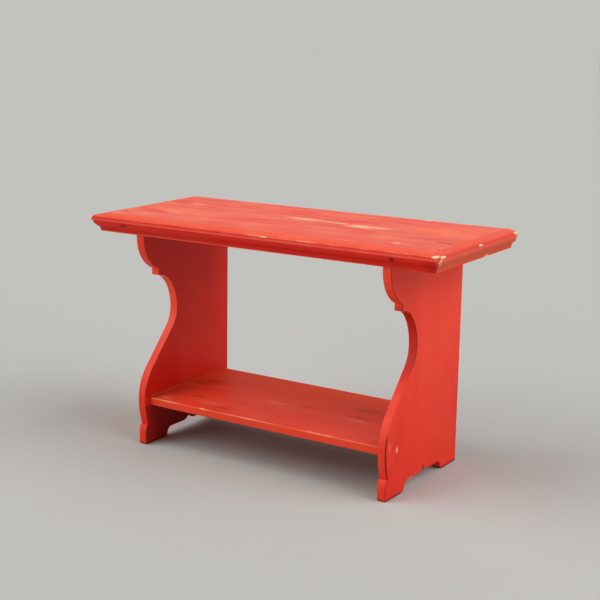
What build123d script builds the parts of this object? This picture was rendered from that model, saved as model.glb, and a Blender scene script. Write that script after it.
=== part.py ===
from build123d import *
import os

# A small painted pine bench. Two scroll-cut end boards stand under a planked top, whose
# front edge and two ends carry a nailed and mitred moulding, and a low shelf ties the end
# boards together.
# Millimetres, +Z up, front at -Y, long side along X.
# The origin is on the floor, in the middle of the top's outline.

# ---- overall size
length = 874.0  # over the noses of the two end mouldings
depth = 350.0  # from the front nose to the plain back edge
height = 518.0  # floor to the top face

# ---- top
plank_thickness = 20.0
back_plank_width = 145.0
seam_chamfer = 0.7  # eased arris on both sides of the joint between the planks
back_round = 3.0  # worn back arris

# ---- moulding, seen in section from its inner face outwards
moulding_width = 32.0
moulding_height = 39.0
lip_height = 34.0  # arris of the nose, above the moulding's underside
lip_thickness = 3.0
lip_round = 0.9
lip_setback = 1.6  # nose to fascia
fascia_foot = 25.0  # underside of the fascia
ovolo_width = 27.5
ovolo_foot = 12.5
cove_width = 21.0
cove_foot = 2.0
underside_width = 15.5

# ---- end boards
board_thickness = 20.0
board_gap = 603.0  # clear length between the end boards
top_overhang = 20.5  # the top runs this far past the boards' straight back edge
back_lean = 10.0  # the back edge leans out by this much from the heel up to the planks
arris = 0.7  # eased edges, cut as small chamfers

# depths below are measured forwards from the heel, heights from the floor
shoulder_depth = 297.5
shoulder_foot = 470.0
bulge_depth = 248.5
bulge_foot = 397.0
scroll_top = 382.0
waist_depth = 186.5
waist_height = 300.0
waist_radius = 67.0
slope_angle = 42.0
slope_length = 108.5
belly_radius = 108.0
notch_depth = 294.5
notch_height = 45.0
toe_depth = 299.0
foot_depth = 304.0
foot_bend = 26.0
foot_corner = 4.0

# ---- ogee arch under each end board, half widths measured from its middle
arch_middle = 149.0  # forwards from the heel
arch_half_width = 91.0
arch_run = 26.0  # the S-curve from a foot to the flat part, along the board
arch_rise = 21.0  # and its height
ogee_half_width = 20.0
ogee_height = 36.0

# ---- shelf
shelf_top = 108.0
shelf_thickness = 17.5
shelf_front = 288.5  # forwards from the heel
shelf_depth = 290.0
shelf_round = 2.0
bead_radius = 7.0  # quarter-round beads that cover the joints at its ends
bead_length = 280.0

# ---- derived places
front = -depth / 2
plank_bottom = height - plank_thickness
moulding_bottom = height - moulding_height
field_end = length / 2 - moulding_width
field_front = front + moulding_width
seam = depth / 2 - back_plank_width
inner_face = board_gap / 2
board_back = depth / 2 - top_overhang
heel = board_back - back_lean

os.makedirs("parts", exist_ok=True)


def y_at(forwards):
    """Y of a point that lies so far in front of the end boards' heel."""
    return heel - forwards


# ======================================================================================
# Top planks
# ======================================================================================

with BuildPart() as front_plank:
    with BuildSketch(Plane.XY.offset(plank_bottom)):
        with Locations((0, (field_front + seam) / 2)):
            Rectangle(2 * field_end, seam - field_front)
    extrude(amount=plank_thickness)
    top_edges = front_plank.faces().sort_by(Axis.Z)[-1].edges()
    chamfer(top_edges.sort_by(Axis.Y)[-1], length=seam_chamfer)

with BuildPart() as back_plank:
    with BuildSketch(Plane.XY.offset(plank_bottom)):
        with Locations((0, depth / 2 - back_plank_width / 2)):
            Rectangle(2 * field_end, back_plank_width)
    extrude(amount=plank_thickness)
    top_edges = back_plank.faces().sort_by(Axis.Z)[-1].edges()
    chamfer(top_edges.sort_by(Axis.Y)[0], length=seam_chamfer)
    fillet(back_plank.edges().filter_by(Axis.X).group_by(Axis.Y)[-1].sort_by(Axis.Z)[-1], back_round)


# ======================================================================================
# Mitred moulding: a shallow thumb on top, a lip, a fascia, an ovolo and a cove
# ======================================================================================


def moulding_section():
    """Section of the moulding: X runs outwards from its inner face, Y up from its foot."""
    lip_bottom = lip_height - lip_thickness
    fascia = moulding_width - lip_setback
    thumb_end = (moulding_width - lip_round, lip_height)
    thumb = TangentArc((0, moulding_height), thumb_end, tangent=(1, 0))
    nose = Line(thumb @ 1, (moulding_width, lip_height - lip_round))
    lip = Polyline(nose @ 1, (moulding_width, lip_bottom), (fascia, lip_bottom))
    band = Polyline(lip @ 1, (fascia, fascia_foot), (ovolo_width, fascia_foot))
    ovolo = TangentArc(band @ 1, (cove_width, ovolo_foot), tangent=(0, -1))
    cove = TangentArc((underside_width, cove_foot), ovolo @ 1, tangent=(0, 1))
    Polyline(cove @ 0, (underside_width, 0), (0, 0), thumb @ 0)


corner = (length / 2, front)
right_mitre = Plane(origin=(*corner, 0), z_dir=(1, 1, 0))
left_mitre = Plane(origin=(-corner[0], front, 0), z_dir=(-1, 1, 0))

with BuildPart() as front_moulding:
    start = Plane(origin=(length / 2, field_front, moulding_bottom), x_dir=(0, -1, 0), z_dir=(-1, 0, 0))
    with BuildSketch(start):
        with BuildLine():
            moulding_section()
        make_face()
    extrude(amount=length)
    split(bisect_by=right_mitre, keep=Keep.BOTTOM)
    split(bisect_by=left_mitre, keep=Keep.BOTTOM)

with BuildPart() as left_moulding:
    start = Plane(origin=(-field_end, front, moulding_bottom), x_dir=(-1, 0, 0), z_dir=(0, 1, 0))
    with BuildSketch(start):
        with BuildLine():
            moulding_section()
        make_face()
    extrude(amount=depth)
    split(bisect_by=left_mitre, keep=Keep.TOP)

with BuildPart() as right_moulding:
    mirror(left_moulding.part, about=Plane.YZ)


# ======================================================================================
# End boards: scrolled front edge, straight back edge, ogee arch between the feet
# ======================================================================================


def scrolled_edge():
    """Front edge from the top down to the floor, returned with its first and last points."""
    top_corner = (y_at(shoulder_depth), moulding_bottom)
    shoulder = Line(top_corner, (y_at(shoulder_depth), shoulder_foot))
    bulge = TangentArc(shoulder @ 1, (y_at(bulge_depth), bulge_foot), tangent=(0, -1))
    Line(bulge @ 1, (y_at(bulge_depth), scroll_top))
    EllipticalCenterArc(
        center=(y_at(bulge_depth), waist_height),
        x_radius=bulge_depth - waist_depth,
        y_radius=scroll_top - waist_height,
        start_angle=0,
        arc_size=90,
    )
    waist = JernArc((y_at(waist_depth), waist_height), (0, -1), waist_radius, -slope_angle)
    slope = PolarLine(waist @ 1, slope_length, direction=waist % 1)
    belly = JernArc(slope @ 1, slope % 1, belly_radius, slope_angle)
    tuck = TangentArc(belly @ 1, (y_at(notch_depth), notch_height), tangent=(0, -1))
    ledge = Line(tuck @ 1, (y_at(toe_depth), notch_height))
    toe = TangentArc((y_at(foot_depth), foot_bend), ledge @ 1, tangent=(0, 1))
    shin = Line(toe @ 0, (y_at(foot_depth), foot_corner))
    tip = TangentArc(shin @ 1, (y_at(foot_depth - foot_corner), 0), tangent=(0, -1))
    return top_corner, tip @ 1


def half_arch(side):
    """Half of the arch from the foot to the middle; side is -1 in front, +1 behind."""
    middle = y_at(arch_middle)
    halfway = (middle + side * (arch_half_width - arch_run / 2), arch_rise / 2)
    foot = TangentArc((middle + side * arch_half_width, 0), halfway, tangent=(-side, 0))
    flat_end = (middle + side * (arch_half_width - arch_run), arch_rise)
    TangentArc(flat_end, halfway, tangent=(side, 0))
    flat = Line(flat_end, (middle + side * ogee_half_width, arch_rise))
    TangentArc(flat @ 1, (middle, ogee_height), tangent=(-side, 0))
    return foot @ 0


with BuildPart() as right_end_board:
    with BuildSketch(Plane.YZ.offset(inner_face)):
        with BuildLine():
            top_corner, front_tip = scrolled_edge()
            Line(front_tip, half_arch(-1))
            back_tip = TangentArc((heel, foot_corner), (heel - foot_corner, 0), tangent=(0, -1))
            Line(half_arch(1), back_tip @ 1)
            Polyline(
                back_tip @ 0,
                (board_back, plank_bottom),
                (field_front, plank_bottom),
                (field_front, moulding_bottom),
                top_corner,
            )
        make_face()
    extrude(amount=board_thickness)
    for side in (0, -1):
        face = right_end_board.faces().filter_by(Axis.X).sort_by(Axis.X)[side]
        chamfer(face.edges().filter_by(lambda edge: edge.center().Z < moulding_bottom - 1), arris)

with BuildPart() as left_end_board:
    mirror(right_end_board.part, about=Plane.YZ)


# ======================================================================================
# Shelf, and the beads that cover the joints at its ends
# ======================================================================================

with BuildPart() as shelf:
    with BuildSketch(Plane.XY.offset(shelf_top - shelf_thickness)):
        with Locations((0, y_at(shelf_front - shelf_depth / 2))):
            Rectangle(board_gap, shelf_depth)
    extrude(amount=shelf_thickness)
    fillet(shelf.edges().filter_by(Axis.X).group_by(Axis.Y)[0], shelf_round)

with BuildPart() as right_shelf_bead:
    bead_start = (inner_face, y_at(shelf_front - shelf_round), shelf_top)
    with BuildSketch(Plane(origin=bead_start, x_dir=(-1, 0, 0), z_dir=(0, 1, 0))):
        with BuildLine():
            round_face = CenterArc((0, 0), bead_radius, 0, 90)
            Polyline(round_face @ 1, (0, 0), round_face @ 0)
        make_face()
    extrude(amount=bead_length)

with BuildPart() as left_shelf_bead:
    mirror(right_shelf_bead.part, about=Plane.YZ)


# ======================================================================================
# Labels and files
# ======================================================================================

pieces = {
    "front_plank": front_plank,
    "back_plank": back_plank,
    "front_moulding": front_moulding,
    "left_moulding": left_moulding,
    "right_moulding": right_moulding,
    "left_end_board": left_end_board,
    "right_end_board": right_end_board,
    "shelf": shelf,
    "left_shelf_bead": left_shelf_bead,
    "right_shelf_bead": right_shelf_bead,
}
for name, piece in pieces.items():
    piece.part.label = name
    export_step(piece.part, f"parts/{name}.step")
    size = piece.part.bounding_box().size
    print(f"{name}: {size.X:.1f} x {size.Y:.1f} x {size.Z:.1f}")
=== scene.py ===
import math

import bmesh
import bpy
from mathutils import Matrix, Vector


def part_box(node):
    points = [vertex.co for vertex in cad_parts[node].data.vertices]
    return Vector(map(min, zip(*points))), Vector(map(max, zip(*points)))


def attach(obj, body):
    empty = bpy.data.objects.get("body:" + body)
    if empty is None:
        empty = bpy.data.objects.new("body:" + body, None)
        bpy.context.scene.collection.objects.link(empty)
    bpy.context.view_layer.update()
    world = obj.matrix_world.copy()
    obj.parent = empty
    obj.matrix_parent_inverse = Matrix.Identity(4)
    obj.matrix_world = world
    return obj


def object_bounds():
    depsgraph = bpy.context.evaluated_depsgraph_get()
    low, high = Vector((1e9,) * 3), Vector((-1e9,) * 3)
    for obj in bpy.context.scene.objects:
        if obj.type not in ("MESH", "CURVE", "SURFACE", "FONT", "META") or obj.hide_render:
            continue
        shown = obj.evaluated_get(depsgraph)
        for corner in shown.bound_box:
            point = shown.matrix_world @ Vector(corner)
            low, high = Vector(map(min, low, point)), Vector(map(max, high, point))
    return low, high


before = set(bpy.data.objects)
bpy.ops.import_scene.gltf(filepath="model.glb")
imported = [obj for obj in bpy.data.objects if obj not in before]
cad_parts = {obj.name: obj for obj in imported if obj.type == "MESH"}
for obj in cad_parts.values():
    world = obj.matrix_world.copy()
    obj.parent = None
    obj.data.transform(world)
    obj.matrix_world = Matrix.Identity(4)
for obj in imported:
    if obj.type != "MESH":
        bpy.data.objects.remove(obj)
cadLow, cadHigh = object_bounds()
print("frame loaded:", len(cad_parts), "nodes")


# a node socket that takes part in plain sums, so shader maths reads like any other
class Socket:
    def __init__(self, tree, socket=None):
        self.tree = tree
        self.socket = socket

    # any node: its type, its settings, then its sockets
    def add(self, kind, settings=None, inputs=None, out=0):
        node = self.tree.nodes.new(kind)
        for name, value in (settings or {}).items():
            setattr(node, name, value)
        for name, value in (inputs or {}).items():
            if isinstance(value, Socket):
                self.tree.links.new(value.socket, node.inputs[name])
            else:
                node.inputs[name].default_value = value
        return Socket(self.tree, node.outputs[out])

    def maths(self, operation, first, second=0.0):
        return self.add("ShaderNodeMath", {"operation": operation}, {0: first, 1: second})

    def __add__(self, other):
        return self.maths("ADD", self, other)

    def __radd__(self, other):
        return self.maths("ADD", other, self)

    def __sub__(self, other):
        return self.maths("SUBTRACT", self, other)

    def __rsub__(self, other):
        return self.maths("SUBTRACT", other, self)

    def __mul__(self, other):
        return self.maths("MULTIPLY", self, other)

    def __rmul__(self, other):
        return self.maths("MULTIPLY", other, self)

    def __abs__(self):
        return self.maths("ABSOLUTE", self)

    def most(self, other):
        return self.maths("MAXIMUM", self, other)

    def least(self, other):
        return self.maths("MINIMUM", self, other)

    # 0 below low, 1 above high, smooth between; low above high turns it round
    def rise(self, low, high):
        ends = {"Value": self, "From Min": low, "From Max": high}
        return self.add("ShaderNodeMapRange", {"interpolation_type": "SMOOTHSTEP"}, ends)

    # 1 inside a band round middle, fading out over soft
    def band(self, middle, half, soft):
        return abs(self - middle).rise(half + soft, half)

    # 1 inside all the fades, each given as where it starts and where it is full
    def within(self, first, *others):
        mask = self.rise(*first)
        for fade in others:
            mask = mask * self.rise(*fade)
        return mask

    # one colour turning into another where this mask is 1; Mix's colour sockets are 6, 7 and 2
    def blend(self, first, second):
        return self.add("ShaderNodeMix", {"data_type": "RGBA"}, {0: self, 6: first, 7: second}, 2)


# a screen colour, 0 to 255, as the linear one that shaders take
def srgb(red, green, blue):
    return tuple(((value / 255 + 0.055) / 1.055) ** 2.4 for value in (red, green, blue)) + (1.0,)


# old red paint over pine
paint = {
    "red": srgb(234, 42, 20),
    "deepRed": srgb(202, 20, 6),
    "paintedLightRed": srgb(255, 58, 38),  # painted light: a brighter red on the end boards' outer faces
    "brightRed": srgb(255, 93, 76),
    "orangeRed": srgb(234, 62, 24),
    "paleRed": srgb(244, 118, 76),  # rubbed thin, the ground coat shows through; on parts of the end boards also painted light
    "dustyRed": srgb(186, 70, 32),
    "blush": srgb(248, 166, 130),  # rubbed nearly through
    "seamAndShadeRed": srgb(116, 16, 8),
    "grimeAndShade": srgb(88, 20, 10),
    "rust": srgb(84, 34, 20),
    "bareWood": srgb(245, 216, 182),
    "darkWood": srgb(206, 150, 108),
    # how worn a place is where the ground coat and then the wood start to show, and show in full
    "groundShows": (0.0, 0.45),
    "woodShows": (0.40, 0.75),
    "groundShare": 0.75,
    # roughness of sound paint, and what the mottle and the wear add to it
    "roughness": 0.44,
    "mottleRoughness": 0.14,
    "bareRoughness": 0.30,
    "dullRoughness": 0.25,
    # how much each noise lifts the paint, and how far bare wood lies below it
    "fibreRelief": 0.35,
    "brushRelief": 0.15,
    "mottleRelief": 0.25,
    "bareRelief": 0.60,
    "bumpStrength": 0.5,
    "bumpDepth": 0.0005,
    "ior": 1.45,
}

# stretches of the noises: the grain runs along the axis with the small number
alongX = (0.06, 1.0, 1.0)
alongY = (1.0, 0.06, 1.0)
alongZ = (1.0, 1.0, 0.06)


# only a share of the grain's stretch
def partly(grain, share):
    return tuple(1.0 - share + share * along for along in grain)


# noise in the piece's own place, stretched along the grain, 0 to 1 round 0.5
def noise(place, scale, stretch=(1.0, 1.0, 1.0), detail=4.0, shift=(0.0, 0.0, 0.0)):
    mapping = {"Vector": place, "Scale": stretch, "Location": shift}
    moved = place.add("ShaderNodeMapping", {}, mapping)
    texture = {"Vector": moved, "Scale": scale, "Detail": detail, "Roughness": 0.6}
    return place.add("ShaderNodeTexNoise", {}, texture)


# an ellipsoid round a point: wild breaks up its rim, and it fades in from there over soft
def spot(place, centre, size, ragged, soft, wild):
    moved = place.add("ShaderNodeVectorMath", {"operation": "SUBTRACT"}, {0: place, 1: centre})
    scaled = place.add("ShaderNodeVectorMath", {"operation": "DIVIDE"}, {0: moved, 1: size})
    far = place.add("ShaderNodeVectorMath", {"operation": "LENGTH"}, {0: scaled}, "Value")
    return (far + (ragged - 0.5) * wild).rise(1.0, 1.0 - soft)


# several spots at once, each a centre and a half size
def spots(place, marks, ragged, soft, wild):
    mask = 0.0
    for centre, size in marks:
        mask = spot(place, centre, size, ragged, soft, wild).most(mask)
    return mask


# marks on a level face, given in plan: x, y, half length along x and half width along y
def level(marks, height, halfHeight=0.01):
    return [((x, y, height), (along, across, halfHeight)) for x, y, along, across in marks]


# 1 on the right half of the bench, 0 on the left
def rightHalf(x):
    return x.rise(0.0, 0.1)


# a new material, and the socket that gives each point's place in it
def newPaint(name):
    material = bpy.data.materials.new(name)
    material.use_nodes = True
    return material, Socket(material.node_tree).add("ShaderNodeTexCoord", out="Object")


# joins colour, roughness and bump to a material's shader
def finishPaint(material, colour, roughness, bump, sheen, ior):
    shader = material.node_tree.nodes["Principled BSDF"]
    for socket, value in (("Base Color", colour), ("Roughness", roughness), ("Normal", bump)):
        material.node_tree.links.new(value.socket, shader.inputs[socket])
    shader.inputs["IOR"].default_value = ior
    shader.inputs["Specular IOR Level"].default_value = sheen
    return material


# paint for one kind of piece: wear() gives the colours over the red and where they lie (tints),
# how far the paint is worn through (bare, where clean is the most wood that shows), and where it
# has gone dull or has a dent
def redPaint(name, grain, sheen, wear):
    material, place = newPaint(name)
    x, y, z = (place.add("ShaderNodeSeparateXYZ", {}, {0: place}, axis) for axis in "XYZ")
    finest = tuple(along * along for along in grain)
    broad = noise(place, scale=9.0, stretch=partly(grain, 0.65), detail=3.0)
    mottle = noise(place, scale=55.0, stretch=partly(grain, 0.70), detail=5.0, shift=(3.1, 1.7, 0.4))
    fibre = noise(place, scale=300.0, stretch=grain, detail=5.0, shift=(0.7, 0.2, 1.9))
    brush = noise(place, scale=900.0, stretch=finest, detail=2.0, shift=(5.0, 2.0, 8.0))
    surface = {
        "place": place,
        "x": x,
        "y": y,
        "z": z,
        "broad": broad,
        "mottle": mottle,
        "fibre": fibre,
    }
    worn = wear(surface)
    layers = (
        (broad.rise(0.62, 0.38) * 0.25, "deepRed"),
        (mottle.rise(0.50, 0.75) * 0.30, "orangeRed"),
        (fibre.rise(0.45, 0.25) * 0.18, "deepRed"),
        *worn["tints"],
    )
    colour = paint["red"]
    for mask, tint in layers:
        colour = mask.blend(colour, paint[tint])
    wood = fibre.rise(0.55, 0.35).blend(paint["bareWood"], paint["darkWood"])
    ground = worn["bare"].rise(*paint["groundShows"]) * paint["groundShare"]
    bare = worn["bare"].rise(*paint["woodShows"]) * worn["clean"]
    colour = bare.blend(ground.blend(colour, paint["paleRed"]), wood)
    roughness = paint["roughness"] + (mottle - 0.5) * paint["mottleRoughness"]
    roughness = roughness + bare * paint["bareRoughness"] + worn["dull"] * paint["dullRoughness"]
    height = fibre * paint["fibreRelief"] + brush * paint["brushRelief"]
    height = height + mottle * paint["mottleRelief"] - bare * paint["bareRelief"] - worn["dent"]
    relief = {"Height": height, "Strength": paint["bumpStrength"], "Distance": paint["bumpDepth"]}
    bump = height.add("ShaderNodeBump", {}, relief)
    return finishPaint(material, colour, roughness, bump, sheen, paint["ior"])


# the planked top: streaks along the grain, the bare joint, knot cracks and chips
topWear = {
    "height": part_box("front_plank")[1].z,
    # marks: x and y of the middle, half length along x and half width along y
    "joint": (
        (0.000, 0.0360, 0.072, 0.0190),
        (0.080, 0.0310, 0.048, 0.0090),
        (0.146, 0.0180, 0.052, 0.0250),
        (0.190, 0.0250, 0.050, 0.0110),
    ),
    "blush": (
        (-0.395, -0.129, 0.034, 0.0070),
        (-0.335, -0.102, 0.042, 0.0080),
        (-0.300, -0.050, 0.050, 0.0100),
        (-0.325, 0.073, 0.034, 0.0130),
        (0.020, 0.034, 0.110, 0.0140),
        (0.150, 0.020, 0.070, 0.0280),
        (0.403, -0.134, 0.016, 0.0050),
        (0.305, -0.109, 0.018, 0.0080),
        (0.273, -0.123, 0.014, 0.0050),
    ),
    "rubbed": (
        (-0.340, -0.020, 0.060, 0.022),
        (-0.150, 0.120, 0.060, 0.020),
        (0.330, 0.060, 0.110, 0.080),
        (0.240, -0.070, 0.050, 0.020),
    ),
    "bright": (
        (-0.265, 0.085, 0.050, 0.026),
        (-0.390, 0.090, 0.050, 0.040),
        (-0.345, -0.065, 0.050, 0.024),
        (-0.060, 0.110, 0.070, 0.045),
        (0.110, 0.080, 0.100, 0.022),
        (0.200, -0.030, 0.050, 0.022),
    ),
    "dust": (
        (0.228, 0.018, 0.045, 0.0100),
        (0.078, 0.0310, 0.034, 0.0085),
        (-0.240, 0.020, 0.060, 0.0080),
    ),
    "cracks": (
        (0.386, -0.0560, 0.026, 0.0078),
        (0.410, -0.0670, 0.020, 0.0058),
        (0.350, -0.1040, 0.020, 0.0040),
    ),
    "chips": (
        (0.306, -0.107, 0.011, 0.0050),
        (0.227, 0.1715, 0.013, 0.0090),
        (-0.140, 0.174, 0.012, 0.0030),
    ),
    # the worn back arris, from the back edge: where it starts and where it is full
    "back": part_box("back_plank")[1].y,
    "backArris": (-0.0070, -0.0005),
    # the joint between the planks: y, half width and soft rim, and |x| where it fades out
    "seam": (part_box("back_plank")[0].y, 0.0003, 0.0005),
    "seamEnds": (0.405, 0.380),
    # how much of the ground coat shows through: everywhere, what streaks, clouds and rubbed
    # marks add, what bright marks take away, and the most of it
    "pale": 0.11,
    "paleStreaks": 0.38,
    "paleClouds": 0.20,
    "paleRubbed": 0.35,
    "brightLess": 0.40,
    "palest": 0.85,
    "sheen": 0.42,
}


def wornTop(surface):
    place, x, y, mottle, fibre = (surface[key] for key in ("place", "x", "y", "mottle", "fibre"))
    streak = noise(place, scale=42.0, stretch=(0.16, 1.0, 1.0), shift=(9.0, 4.0, 1.0))
    cloud = noise(place, scale=15.0, stretch=(0.5, 1.0, 1.0), shift=(2.0, 8.0, 1.0))
    ragged = noise(place, scale=110.0, stretch=(0.30, 1.0, 1.0), detail=5.0, shift=(1.0, 6.0, 3.0))
    torn = ragged * 0.5 + fibre * 0.5  # breaks small marks into streaks

    def marked(kind, rim, soft, wild):
        return spots(place, level(topWear[kind], topWear["height"]), rim, soft, wild)

    rubbed = marked("rubbed", ragged, soft=0.9, wild=0.8)
    bright = marked("bright", ragged, soft=0.9, wild=0.8)
    blush = marked("blush", torn, soft=0.9, wild=1.8)
    dust = marked("dust", ragged, soft=0.9, wild=0.8)
    joint = marked("joint", ragged, soft=0.95, wild=1.1)
    chips = marked("chips", torn, soft=0.6, wild=1.4)
    cracks = marked("cracks", torn, soft=0.7, wild=2.0)
    backArris = (y - topWear["back"]).rise(*topWear["backArris"])
    backArris = backArris * (mottle * 0.8 + fibre * 0.4).rise(0.60, 0.85)
    seam = y.band(*topWear["seam"]) * abs(x).rise(*topWear["seamEnds"])
    pale = topWear["pale"] + topWear["paleStreaks"] * streak.rise(0.38, 0.68)
    pale = pale + topWear["paleClouds"] * cloud.rise(0.35, 0.65)
    pale = pale + topWear["paleRubbed"] * rubbed - topWear["brightLess"] * bright
    pale = pale.least(topWear["palest"]).most(0.0)
    pale = pale * (0.74 + 0.52 * fibre.rise(0.35, 0.65))
    tints = (
        (streak.rise(0.48, 0.32) * 0.40, "deepRed"),
        (cloud.rise(0.52, 0.66) * 0.50, "orangeRed"),
        (pale, "paleRed"),
        (blush * 0.62, "blush"),
        (dust * 0.40, "dustyRed"),
        (backArris * 0.50, "paleRed"),
        (seam * 0.45, "grimeAndShade"),
        (cracks * 0.90, "deepRed"),
        (cracks.rise(0.30, 0.90) * 0.55, "seamAndShadeRed"),
    )
    return {
        "tints": tints,
        "bare": joint.most(chips),
        "clean": 0.72,
        "dull": rubbed * 0.4,
        "dent": seam * 0.6 + cracks * 0.8,
    }


# the moulding round the top: rubbed nose, knocked corners, a split mitre, painted light on the
# fascia and painted shade in the ovolo and cove
mouldingWear = {
    # marks: the middle and the half size
    "chips": (
        ((-0.4365, -0.1740, 0.5115), (0.0080, 0.0060, 0.0060)),
        ((0.4245, -0.1740, 0.5130), (0.0095, 0.0060, 0.0040)),
        ((0.4290, -0.1700, 0.5145), (0.0060, 0.0060, 0.0030)),
        ((0.4365, -0.1610, 0.5125), (0.0045, 0.0120, 0.0045)),
        ((0.4350, -0.1690, 0.5060), (0.0050, 0.0050, 0.0090)),
        ((0.4360, 0.1660, 0.5135), (0.0090, 0.0150, 0.0070)),
        ((0.4350, 0.1740, 0.5020), (0.0060, 0.0050, 0.0100)),
        ((0.4365, -0.0040, 0.5120), (0.0030, 0.0110, 0.0025)),
        ((0.4200, 0.0560, 0.4800), (0.0070, 0.0090, 0.0032)),
        ((0.0350, -0.1750, 0.5125), (0.0120, 0.0034, 0.0020)),
    ),
    "blush": (
        ((0.4300, -0.1650, 0.4960), (0.0090, 0.0120, 0.0140)),
        ((0.4090, -0.1440, 0.5180), (0.0100, 0.0040, 0.0040)),
        ((0.0150, -0.1740, 0.5130), (0.0400, 0.0040, 0.0022)),
        ((0.1350, -0.1740, 0.5130), (0.0300, 0.0040, 0.0020)),
    ),
    "stains": (
        ((-0.3470, -0.1690, 0.4970), (0.0130, 0.0060, 0.0055)),
        ((0.3295, -0.1690, 0.4970), (0.0090, 0.0060, 0.0060)),
        ((-0.4340, -0.1720, 0.5060), (0.0060, 0.0060, 0.0050)),
    ),
    "mitre": cadHigh.x + cadLow.y,  # |x| + y on both mitres
    # across a mitre: from the front piece to the side one, and from the dark line's rim inwards
    "mitreTurn": (-0.0003, 0.0003),
    "mitreLine": (0.0007, 0.0002),
    "mitreFront": (-0.1425, -0.1440),  # y where that line starts
    "base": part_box("front_moulding")[0].z,
    # bands, in height over the base: the middle, the half width and the soft rim
    "nose": (0.0334, 0.0007, 0.0009),
    "sideNose": (0.0334, 0.0020, 0.0010),
    "fascia": (0.0280, 0.0027, 0.0008),
    "ovolo": (0.0150, 0.0040, 0.0020),
    # heights over the base: where a patch starts and where it is full
    "innerEdge": (0.0375, 0.0386),
    "thumb": (0.0338, 0.0360),
    "upper": ((0.0180, 0.0250), (0.0340, 0.0330)),
    "endFace": (0.0310, 0.0270),
    "cove": ((0.0125, 0.0100), (0.0018, 0.0024)),
    "foot": ((0.0024, 0.0020), (-0.0002, 0.0002)),
    "underside": (0.0002, -0.0002),
    "frontEndHeight": (0.0250, 0.0170),
    # the inner edges, |x| at the sides and y in front: the middle, the half width and the soft rim
    "innerSide": (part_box("front_plank")[1].x + 0.0008, 0.0008, 0.0016),
    "innerFront": (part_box("front_plank")[0].y - 0.0010, 0.0008, 0.0016),
    # along x: where a patch starts and where it is full
    "frontEnd": (0.392, 0.410),
    "noseFade": (-0.10, 0.10),
    "ovoloFade": (-0.30, 0.00),
    "footFade": (0.05, -0.15),
    "frontSheen": 0.20,
    "sideSheen": 0.12,
}


def wornMoulding(surface):
    place, x, y, z, mottle = (surface[key] for key in ("place", "x", "y", "z", "mottle"))
    worn = mouldingWear
    ragged = noise(place, scale=140.0, shift=(1.0, 6.0, 3.0))
    rub = noise(place, scale=24.0, shift=(4.0, 4.0, 4.0)).rise(0.42, 0.62)
    chips = spots(place, worn["chips"], ragged, soft=0.45, wild=1.0)
    blush = spots(place, worn["blush"], ragged, soft=0.8, wild=0.9)
    stains = spots(place, worn["stains"], ragged, soft=0.7, wild=0.8)
    up = z - worn["base"]
    pastMitre = abs(x) + y - worn["mitre"]
    side = pastMitre.rise(*worn["mitreTurn"])
    front = 1.0 - side
    rightSide = side * rightHalf(x)
    nose = up.band(*worn["nose"]) * (0.25 + 0.75 * rub) * (0.15 + 0.85 * front)
    nose = nose * (0.14 + 0.16 * x.rise(*worn["noseFade"]))
    innerEdge = up.rise(*worn["innerEdge"]) * rub
    innerSide = abs(x).band(*worn["innerSide"]) * innerEdge * 0.65
    innerFront = y.band(*worn["innerFront"]) * innerEdge * 0.18
    thumb = up.rise(*worn["thumb"])
    fascia = up.band(*worn["fascia"]) * front
    ovolo = up.band(*worn["ovolo"]) * front * x.rise(*worn["ovoloFade"])
    cove = up.within(*worn["cove"])
    foot = up.within(*worn["foot"]) * front * x.rise(*worn["footFade"])
    endFace = rightSide * up.rise(*worn["endFace"])
    upper = rightSide * up.within(*worn["upper"])
    frontEnd = front * x.rise(*worn["frontEnd"]) * up.rise(*worn["frontEndHeight"])
    mitre = abs(pastMitre).rise(*worn["mitreLine"]) * y.rise(*worn["mitreFront"])
    tints = (
        (thumb * (0.20 + 0.30 * mottle.rise(0.35, 0.70)), "orangeRed"),
        (thumb * (0.20 + 0.25 * mottle.rise(0.45, 0.75)), "paleRed"),
        (thumb * 0.06, "blush"),
        # the fascia paler and brighter: rubbed paint, and painted light
        (fascia * (0.72 + 0.20 * rub), "brightRed"),
        # painted shade in the ovolo and the cove, under the nose
        (ovolo * 0.35, "deepRed"),
        (cove * (1.0 - endFace) * 0.45, "deepRed"),
        (cove * front * 0.08, "seamAndShadeRed"),
        (foot * 0.18, "blush"),
        (endFace * (0.30 + 0.22 * mottle.rise(0.35, 0.65)), "paleRed"),
        (endFace * 0.22, "dustyRed"),
        (upper * 0.40, "brightRed"),
        (upper * 0.10, "blush"),
        (side * up.band(*worn["sideNose"]) * 0.18, "deepRed"),
        (nose.most(innerSide).most(innerFront), "blush"),
        (blush * 0.50, "blush"),
        (up.rise(*worn["underside"]) * 0.30, "grimeAndShade"),
        (frontEnd * 0.60, "deepRed"),
        (frontEnd * 0.18, "seamAndShadeRed"),
        (mitre * 0.65, "grimeAndShade"),
        (stains * 0.45, "grimeAndShade"),
    )
    return {"tints": tints, "bare": chips, "clean": 0.92, "dull": thumb * 0.1, "dent": mitre * 0.6}
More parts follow.
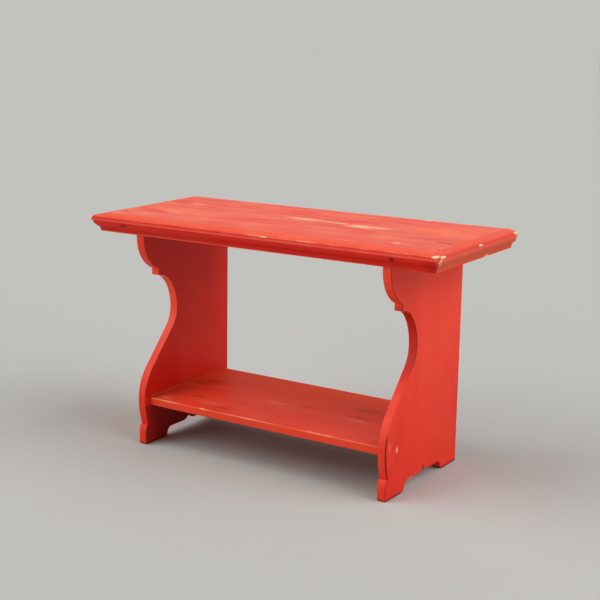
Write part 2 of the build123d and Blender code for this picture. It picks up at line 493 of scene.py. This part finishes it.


# the scrolled end boards: rubbed arrises, feet dark with grime and painted shade, painted light and
# shade on the faces and scroll edges, a split along the right one's front arris
boardWear = {
    # marks: the middle and the half size
    "scuffs": (
        ((0.3215, -0.060, 0.020), (0.004, 0.020, 0.004)),
    ),
    "pale": (
        ((0.3215, -0.117, 0.0995), (0.004, 0.007, 0.012)),
        ((0.3215, -0.146, 0.1120), (0.004, 0.004, 0.015)),
        ((0.3215, 0.136, 0.0995), (0.004, 0.006, 0.009)),
        ((-0.3215, -0.117, 0.0995), (0.004, 0.006, 0.009)),
        ((-0.3215, 0.136, 0.0995), (0.004, 0.006, 0.009)),
    ),
    "innerFace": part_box("right_end_board")[0].x,
    # the eased arrises, from the inner face: the middle, the half width and the soft rim
    "outer": (0.0196, 0.00025, 0.0002),
    "inner": (0.0004, 0.00025, 0.0002),
    # from the inner face outwards: where a patch starts and where it is full
    "edge": ((0.0005, 0.0008), (0.0195, 0.0192)),
    "inside": (0.0004, 0.0001),
    "outerLine": ((0.0165, 0.0185), (0.01988, 0.01978)),
    "innerLine": ((0.0025, 0.0011), (0.00012, 0.00022)),
    # the same from back to front, as y
    "scroll": (-0.02, -0.05),
    "gloomDepth": (0.12, -0.12),
    # and upwards, as z
    "foot": (0.0080, 0.0010),
    "underShelf": (0.0905, 0.0885),
    "paintedLight": (0.08, 0.36),
    "lowDark": (0.22, 0.16),
    "lowLine": (0.24, 0.16),
    "waist": ((0.20, 0.27), (0.400, 0.375)),
    "waistGloom": ((0.22, 0.29), (0.400, 0.375)),
    "gloomHeight": (0.30, 0.46),
    "bulge": (0.395, 0.410),
    "shoulder": (0.470, 0.478),
    "slope": (0.195, 0.040, 0.030),  # a band: its middle, half width and soft rim
    # the split: outwards, from back to front, and its band in height
    "splitAcross": ((0.0157, 0.0167), (0.01988, 0.01978)),
    "splitDepth": (-0.1250, -0.1330),
    "splitHeight": (0.092, 0.036, 0.014),
    "sheen": 0.24,
}


def wornBoard(surface):
    place, x, y, z, mottle = (surface[key] for key in ("place", "x", "y", "z", "mottle"))
    worn = boardWear
    ragged = noise(place, scale=140.0, stretch=(1.0, 1.0, 0.5), shift=(1.0, 6.0, 3.0))
    torn = ragged * 0.5 + surface["fibre"] * 0.5
    rub = noise(place, scale=20.0, shift=(4.0, 4.0, 4.0)).rise(0.40, 0.65)
    scuffs = spots(place, worn["scuffs"], ragged, soft=0.5, wild=0.8)
    halo = spots(place, worn["pale"], torn, soft=0.9, wild=1.8)
    across = abs(x) - worn["innerFace"]
    right = rightHalf(x)
    left = 1.0 - right
    scroll = y.rise(*worn["scroll"])  # the part of an edge that is in front
    outer = across.band(*worn["outer"])
    inner = across.band(*worn["inner"])
    edge = across.within(*worn["edge"])
    leftScroll = edge * left * scroll
    rightScroll = edge * right * scroll
    inside = across.rise(*worn["inside"])
    # painted light: the outer faces brighter, more so upwards
    paintedLight = z.rise(*worn["paintedLight"]) * (1.0 - inside)
    # the inner faces under the shelf, painted darker as shade
    below = z.rise(*worn["underShelf"]) * inside
    # painted shade at the top front of the inner faces, under the top
    gloom = inside * z.rise(*worn["gloomHeight"]) * y.rise(*worn["gloomDepth"])
    foot = z.rise(*worn["foot"])
    split = across.within(*worn["splitAcross"]) * right * y.rise(*worn["splitDepth"])
    split = split * z.band(*worn["splitHeight"]) * ragged.rise(0.28, 0.42)
    # where the scroll's arrises take painted shade instead of a rubbed pale line
    dark = scroll * right.most(z.rise(*worn["lowDark"]))
    faint = 1.0 - 0.65 * z.band(*worn["slope"])  # the slope's arris is less dark
    outerLine = across.within(*worn["outerLine"]) * right * scroll
    innerLine = across.within(*worn["innerLine"]) * left * scroll * z.rise(*worn["lowLine"])
    tints = (
        # painted light on the outer faces
        (paintedLight * 0.65, "paintedLightRed"),
        (0.015 + surface["broad"].rise(0.45, 0.70) * 0.06 + paintedLight * 0.06, "paleRed"),
        (edge * (0.04 + 0.14 * mottle.rise(0.40, 0.70)), "paleRed"),
        # the left scroll's edge: painted light on the waist, painted shade over the bulge
        (leftScroll * z.within(*worn["waist"]) * 0.22, "paleRed"),
        (leftScroll * z.rise(*worn["bulge"]) * 0.15, "deepRed"),
        # deeper red on the inner faces: paint less faded there, and painted shade
        (inside * 0.45, "deepRed"),
        # painted shade under the top
        (gloom * 0.28, "seamAndShadeRed"),
        # painted shade on the right scroll's waist, under the bulge
        (rightScroll * z.within(*worn["waist"]) * 0.85, "deepRed"),
        (rightScroll * z.within(*worn["waistGloom"]) * 0.15, "seamAndShadeRed"),
        ((outer * 0.40).most(inner * 0.25) * (0.3 + 0.7 * rub) * (1.0 - dark), "paleRed"),
        # painted shade: dark lines along the scroll's arrises
        (outer.most(inner) * dark * faint * (0.3 + 0.3 * rub), "seamAndShadeRed"),
        (outerLine.most(innerLine) * faint * (0.28 + 0.22 * rub), "seamAndShadeRed"),
        # painted shade under the shelf, darkened further with grime
        (below * 0.50, "deepRed"),
        (below * (0.35 + 0.30 * mottle), "grimeAndShade"),
        (edge * z.rise(*worn["shoulder"]) * 0.30, "dustyRed"),
        (halo * 0.40, "blush"),
        # grime on the feet, and painted shade along their bottom edges
        (foot * (0.45 + 0.50 * mottle.rise(0.35, 0.60)), "grimeAndShade"),
        (split * 0.95, "deepRed"),
        (split * 0.62, "seamAndShadeRed"),
    )
    return {
        "tints": tints,
        "bare": scuffs * 0.9,
        "clean": 0.6,
        "dull": foot * 0.8,
        "dent": split * 0.8,
    }


# the shelf and its beads: dust towards the rear and the ends, dashes along the front arris
shelfWear = {
    "height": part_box("shelf")[1].z,
    # marks: the middle and the half size
    "dashes": (
        ((-0.1520, -0.1430, 0.1080), (0.013, 0.0036, 0.0030)),
        ((0.1290, -0.1430, 0.1080), (0.016, 0.0038, 0.0032)),
        ((0.1750, -0.1435, 0.1080), (0.018, 0.0026, 0.0018)),
    ),
    "blush": (
        ((-0.2450, -0.1430, 0.1075), (0.034, 0.0050, 0.0040)),
        ((-0.1500, -0.1430, 0.1075), (0.026, 0.0050, 0.0050)),
        ((-0.0300, -0.1430, 0.1075), (0.040, 0.0050, 0.0040)),
        ((0.1500, -0.1430, 0.1075), (0.060, 0.0060, 0.0050)),
    ),
    # marks: x and y of the middle, half length along x and half width along y
    "pale": (
        (-0.160, -0.100, 0.045, 0.016),
        (-0.272, -0.120, 0.026, 0.022),
        (-0.040, -0.016, 0.044, 0.012),
        (0.170, -0.026, 0.070, 0.012),
    ),
    "dark": (
        (-0.255, 0.040, 0.034, 0.032),
        (-0.268, 0.012, 0.030, 0.010),
        (0.035, -0.004, 0.040, 0.010),
        (0.165, -0.004, 0.040, 0.009),
        (0.160, 0.045, 0.050, 0.025),
        (-0.120, -0.116, 0.040, 0.012),
        (-0.215, -0.075, 0.030, 0.014),
    ),
    "front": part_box("shelf")[0].y,
    # along x: where a patch starts and where it is full
    "field": (0.2948, 0.2942),  # |x| between the beads
    "leftEnd": (-0.200, -0.300),
    "rightEnd": (0.265, 0.301),
    # the same from the front face backwards
    "rear": (0.0840, 0.2240),
    "arrisDepth": (0.0035, 0.0020),
    "frontFace": (0.0005, 0.0001),
    # and up from the top face
    "bead": (0.0000, 0.0003),
    "arrisHeight": (-0.0025, -0.0010),
    "topFace": (-0.0040, -0.0005),
    "underside": (-0.0172, -0.0174),
    "sheen": 0.07,
}


def wornShelf(surface):
    place, x, y, z = (surface[key] for key in ("place", "x", "y", "z"))
    worn = shelfWear
    streak = noise(place, scale=40.0, stretch=(0.16, 1.0, 1.0), shift=(9.0, 4.0, 1.0))
    ragged = noise(place, scale=110.0, stretch=(0.30, 1.0, 1.0), detail=5.0, shift=(1.0, 6.0, 3.0))
    torn = ragged * 0.5 + surface["fibre"] * 0.5
    dashes = spots(place, worn["dashes"], ragged, soft=0.7, wild=1.0)
    blush = spots(place, worn["blush"], ragged, soft=0.9, wild=0.9)
    pale = spots(place, level(worn["pale"], worn["height"]), torn, soft=0.9, wild=1.6)
    dark = spots(place, level(worn["dark"], worn["height"]), torn, soft=0.9, wild=1.6)
    back = y - worn["front"]
    up = z - worn["height"]
    field = abs(x).rise(*worn["field"])
    arris = back.rise(*worn["arrisDepth"]) * up.rise(*worn["arrisHeight"]) * field
    topFace = up.rise(*worn["topFace"])
    ends = x.rise(*worn["leftEnd"]).most(x.rise(*worn["rightEnd"]) * 0.6)
    rear = back.rise(*worn["rear"])
    bead = (1.0 - field) * up.rise(*worn["bead"])
    tints = (
        (field * 0.14, "brightRed"),
        ((0.14 + 0.14 * streak.rise(0.40, 0.70)) * topFace, "paleRed"),
        (streak.rise(0.48, 0.32) * topFace * 0.24, "deepRed"),
        ((rear * (0.16 + 0.32 * streak)).most(ends * 0.38) * topFace, "dustyRed"),
        (back.rise(*worn["frontFace"]) * 0.21, "paleRed"),
        (arris * (0.16 + 0.26 * streak.rise(0.40, 0.60)), "blush"),
        (blush * field * 0.40, "blush"),
        (pale * 0.26, "blush"),
        (dark * 0.30, "seamAndShadeRed"),
        (bead * 0.50, "deepRed"),
        (bead * 0.35, "dustyRed"),
        (up.rise(*worn["underside"]) * 0.80, "dustyRed"),
    )
    return {
        "tints": tints,
        "bare": dashes * 0.62,
        "clean": 0.7,
        "dull": rear * 0.3 + ends * 0.3,
        "dent": streak * 0.1,
    }


topPaint = redPaint("wornTopPaint", alongX, topWear["sheen"], wornTop)
frontMouldingPaint = redPaint("frontMouldingPaint", alongX, mouldingWear["frontSheen"], wornMoulding)
sideMouldingPaint = redPaint("sideMouldingPaint", alongY, mouldingWear["sideSheen"], wornMoulding)
boardPaint = redPaint("endBoardPaint", alongZ, boardWear["sheen"], wornBoard)
shelfPaint = redPaint("shelfPaint", alongX, shelfWear["sheen"], wornShelf)
finishes = {
    "front_plank": topPaint,
    "back_plank": topPaint,
    "front_moulding": frontMouldingPaint,
    "left_moulding": sideMouldingPaint,
    "right_moulding": sideMouldingPaint,
    "left_end_board": boardPaint,
    "right_end_board": boardPaint,
    "shelf": shelfPaint,
    "left_shelf_bead": shelfPaint,
    "right_shelf_bead": shelfPaint,
}
for name, finish in finishes.items():
    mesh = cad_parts[name].data
    mesh.materials.clear()
    mesh.materials.append(finish)
print("painted:", len(finishes), "pieces")


# nails: two driven heads in the front moulding, and filled ones where the shelf is nailed on
nails = {
    "mouldingHeads": (
        # name, place along the front, half width and half height, finish
        ("moulding_nail_left", -0.3470, 0.0078, 0.0034, "painted"),
        ("moulding_nail_right", 0.3295, 0.0042, 0.0038, "rusty"),
    ),
    "ovoloPlace": (-0.16905, 0.4975),  # y and z on the ovolo's face
    "ovoloTilt": math.radians(25.2),  # how far that face leans down there
    "filledHeads": (
        # end of the name, y, finish
        ("front", -0.1170, "rubbed"),
        ("back", 0.1360, "filled"),
    ),
    "filledHeight": 0.0995,
    "filledRadius": 0.0048,
    "boardFace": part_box("right_end_board")[1].x,
    "sunk": 0.0020,
    "proud": 0.00035,
    "crownRound": 0.00025,
    "sides": 20,
    # finishes: the material's name, two colours and the roughness
    "finishes": {
        "rusty": ("rustyNailHead", "rust", "seamAndShadeRed", 0.5),
        "painted": ("paintedNailHead", "rust", "deepRed", 0.5),
        "filled": ("filledNailHead", "orangeRed", "red", 0.4),
        "rubbed": ("rubbedNailHead", "paleRed", "blush", 0.4),
    },
    "blotchRoughness": 0.2,
    "bumpStrength": 0.6,
    "bumpDepth": 0.0003,
    "sheen": 0.2,
    "ior": 1.5,
}


# a low rounded head along +Z: its foot lies under the surface, its crown just above it
def nailHead(name, halfWidth, halfHeight, turn, place, finish):
    head = bmesh.new()
    depth = nails["sunk"] + nails["proud"]
    bmesh.ops.create_cone(
        head, cap_ends=True, segments=nails["sides"], radius1=1.0, radius2=1.0, depth=depth
    )
    bmesh.ops.scale(head, vec=(halfWidth, halfHeight, 1.0), verts=head.verts)
    bmesh.ops.translate(head, vec=(0.0, 0.0, nails["proud"] - depth / 2), verts=head.verts)
    crown = [edge for edge in head.edges if all(vert.co.z > 0.0 for vert in edge.verts)]
    bmesh.ops.bevel(
        head,
        geom=crown,
        affect="EDGES",
        offset=nails["crownRound"],
        segments=2,
        profile=0.5,
        material=-1,
    )
    bmesh.ops.transform(head, matrix=Matrix.Translation(place) @ turn, verts=head.verts)
    mesh = bpy.data.meshes.new(name)
    head.to_mesh(mesh)
    head.free()
    mesh.materials.append(finish)
    piece = bpy.data.objects.new(name, mesh)
    bpy.context.scene.collection.objects.link(piece)
    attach(piece, "root")


# the finish of a head: one colour over another in fine blotches
def headPaint(name, lower, upper, roughness):
    material, place = newPaint(name)
    blotch = noise(place, scale=600.0, detail=5.0)
    colour = blotch.rise(0.40, 0.62).blend(paint[lower], paint[upper])
    relief = {"Height": blotch, "Strength": nails["bumpStrength"], "Distance": nails["bumpDepth"]}
    bump = blotch.add("ShaderNodeBump", {}, relief)
    blotched = roughness + blotch * nails["blotchRoughness"]
    return finishPaint(material, colour, blotched, bump, nails["sheen"], nails["ior"])


heads = {finish: headPaint(*values) for finish, values in nails["finishes"].items()}
for name, along, halfWidth, halfHeight, finish in nails["mouldingHeads"]:
    facing = Matrix.Rotation(math.radians(90) + nails["ovoloTilt"], 4, "X")
    nailHead(name, halfWidth, halfHeight, facing, (along, *nails["ovoloPlace"]), heads[finish])
for side, sideName in ((1, "right"), (-1, "left")):
    facing = Matrix.Rotation(side * math.radians(90), 4, "Y")
    for ending, depth, finish in nails["filledHeads"]:
        name = "shelf_nail_" + sideName + "_" + ending
        place = (side * nails["boardFace"], depth, nails["filledHeight"])
        nailHead(name, nails["filledRadius"], nails["filledRadius"], facing, place, heads[finish])
print("nails set:", len(nails["mouldingHeads"]) + 2 * len(nails["filledHeads"]))


# floor, backdrop and lamps
studio = {
    "floor": srgb(190, 190, 186),
    "floorRadius": 30.0,
    "backdrop": srgb(194, 194, 190),
    "ambient": 0.02,
    "lamps": (
        # where it shines from, and its strength
        ((-0.58, -0.33, 0.74), 1.50),
        ((0.65, 0.17, 0.74), 1.40),
        ((0.93, 0.00, 0.37), 1.05),
        ((-0.32, -0.87, 0.37), 1.05),
        ((-0.12, 0.66, 0.74), 0.40),
    ),
    "lampDistance": 3.0,
    "spread": 0.9,  # how wide each lamp looks from the bench, in radians
}
disc = bmesh.new()
bmesh.ops.create_circle(disc, cap_ends=True, segments=96, radius=studio["floorRadius"])
floorMesh = bpy.data.meshes.new("floor")
disc.to_mesh(floorMesh)
disc.free()
floor = bpy.data.objects.new("floor", floorMesh)
bpy.context.scene.collection.objects.link(floor)
floorPaint = bpy.data.materials.new("plainFloor")
floorPaint.use_nodes = True
floorShader = floorPaint.node_tree.nodes["Principled BSDF"]
floorValues = {"Base Color": studio["floor"], "Roughness": 1.0, "Specular IOR Level": 0.0}
for socket, value in floorValues.items():
    floorShader.inputs[socket].default_value = value
floorMesh.materials.append(floorPaint)

world = bpy.data.worlds.new("studio")
bpy.context.scene.world = world
world.use_nodes = True
sky = Socket(world.node_tree)
seen = 0.0  # 1 for the rays that show the backdrop instead of lighting the bench
for kind in ("Camera", "Glossy", "Transmission"):
    seen = sky.add("ShaderNodeLightPath", out="Is " + kind + " Ray").most(seen)
soft = {"Color": (1.0, 1.0, 1.0, 1.0), "Strength": studio["ambient"]}
plain = {"Color": studio["backdrop"], "Strength": 1.0}
light, backdrop = (sky.add("ShaderNodeBackground", {}, values) for values in (soft, plain))
both = sky.add("ShaderNodeMixShader", {}, {0: seen, 1: light, 2: backdrop})
world.node_tree.links.new(both.socket, world.node_tree.nodes["World Output"].inputs["Surface"])

for number, (place, strength) in enumerate(studio["lamps"]):
    lamp = bpy.data.lights.new("softLight" + str(number), "SUN")
    lamp.energy = strength
    lamp.angle = studio["spread"]
    holder = bpy.data.objects.new(lamp.name, lamp)
    holder.location = studio["lampDistance"] * Vector(place)
    holder.rotation_euler = Vector(place).to_track_quat("Z", "Y").to_euler()
    bpy.context.scene.collection.objects.link(holder)

view = {
    "place": (1.51515, -2.25919, 0.95872),
    "turn": (1.34886, -0.00434, 0.58928),
    "lens": 76.89,
    "sensorWidth": 36.0,
}
camera = bpy.data.objects.new("camera", bpy.data.cameras.new("camera"))
camera.location = view["place"]
camera.rotation_euler = view["turn"]
camera.data.lens = view["lens"]
camera.data.sensor_width = view["sensorWidth"]
bpy.context.scene.collection.objects.link(camera)
bpy.context.scene.camera = camera
bpy.context.scene.view_settings.view_transform = "Standard"
print("stage, lamps and camera set")
